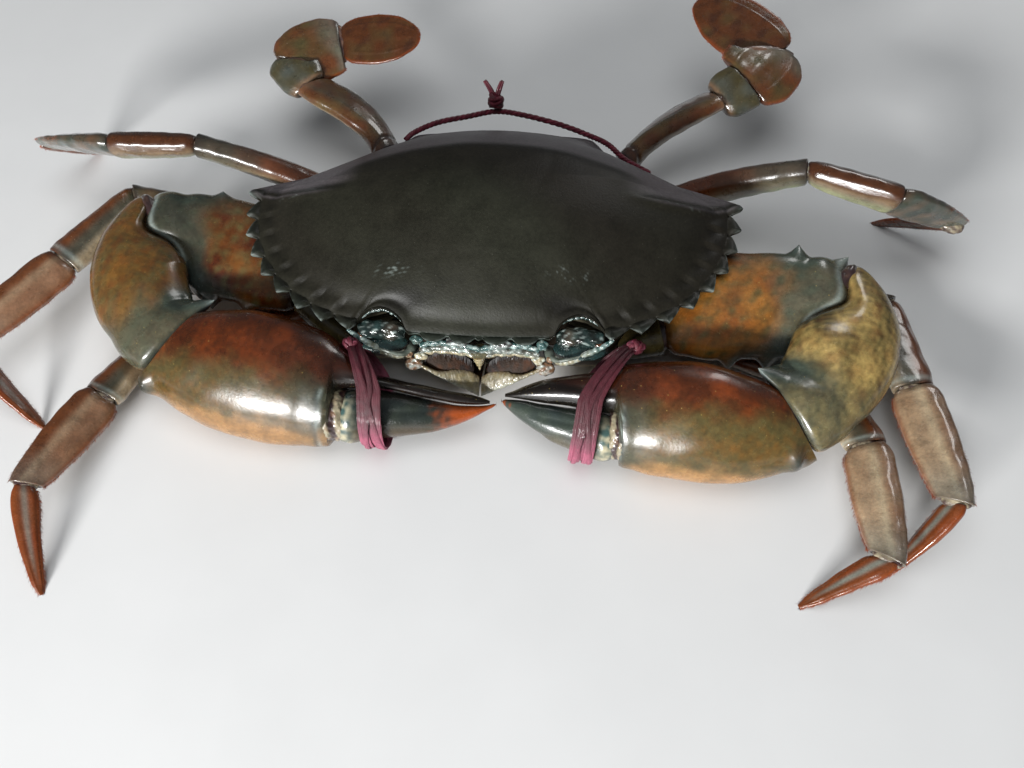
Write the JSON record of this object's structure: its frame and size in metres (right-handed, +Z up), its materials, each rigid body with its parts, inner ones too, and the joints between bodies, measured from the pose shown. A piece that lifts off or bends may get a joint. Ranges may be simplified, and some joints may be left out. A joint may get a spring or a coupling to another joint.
{
  "type": "mud crab",
  "caption": "Still, life-size mud crab with a broad toothed shell, folded and bound claws, pointed walking legs and paddle-shaped rear legs, resting flat on its belly.",
  "frame": {"origin": "centre of the belly's resting flat, at floor level", "axes": "+X toward the crab's own left side, -Y the way its face points, +Z up"},
  "size_m": [0.2956, 0.2093, 0.0464],
  "materials": {
    "shell_dark": "satin grey-black shell with fine grains and paler sheen",
    "shell_pale": "wet cream to grey underside and mouth plates",
    "shell_claw": "smooth wet shell, orange-red to olive and cream, finely speckled",
    "claw_finger": "glossy dark finger with an orange tip",
    "shell_leg": "wet brown to grey-green leg plates with orange edges",
    "leg_tip": "orange-brown claw-like tip with a pale groove",
    "membrane": "translucent wet skin between plates",
    "bristle": "reddish fringe hairs",
    "eye_dark": "glassy dark eye",
    "tie": "flat split raffia-like plastic strands, maroon to pink"
  },
  "bodies": {
    "root": {"carapace": "shell_dark", "trunk": "shell_pale", "tail_flap": "shell_pale", "maxilliped_left": "shell_pale", "eye_left": "eye_dark", "antenna_left": "shell_pale", "maxilliped_right": "shell_pale", "eye_right": "eye_dark", "antenna_right": "shell_pale", "claw_left_ischium": "shell_claw", "claw_left_merus": "shell_claw", "claw_left_carpus": "shell_claw", "claw_left_palm": "shell_claw", "claw_left_dactylus": "claw_finger", "claw_right_ischium": "shell_claw", "claw_right_merus": "shell_claw", "claw_right_carpus": "shell_claw", "claw_right_palm": "shell_claw", "claw_right_dactylus": "claw_finger", "leg2_left_merus": "shell_leg", "leg2_left_carpus": "shell_leg", "leg2_left_propodus": "shell_leg", "leg2_left_dactylus": "leg_tip", "leg2_right_merus": "shell_leg", "leg2_right_carpus": "shell_leg", "leg2_right_propodus": "shell_leg", "leg2_right_dactylus": "leg_tip", "leg3_left_merus": "shell_leg", "leg3_left_carpus": "shell_leg", "leg3_left_propodus": "shell_leg", "leg3_left_dactylus": "leg_tip", "leg3_right_merus": "shell_leg", "leg3_right_carpus": "shell_leg", "leg3_right_propodus": "shell_leg", "leg3_right_dactylus": "leg_tip", "leg4_left_merus": "shell_leg", "leg4_left_carpus": "shell_leg", "leg4_left_propodus": "shell_leg", "leg4_left_dactylus": "leg_tip", "leg4_right_merus": "shell_leg", "leg4_right_carpus": "shell_leg", "leg4_right_propodus": "shell_leg", "leg4_right_dactylus": "leg_tip", "leg5_left_merus": "shell_leg", "leg5_left_carpus": "shell_leg", "leg5_left_propodus": "shell_leg", "leg5_left_dactylus": "shell_leg", "leg5_right_merus": "shell_leg", "leg5_right_carpus": "shell_leg", "leg5_right_propodus": "shell_leg", "leg5_right_dactylus": "shell_leg", "tie_claw_left": "tie", "tie_claw_right": "tie", "tie_rear": "tie", "tie_knot": "tie"}
  },
  "joints": []
}
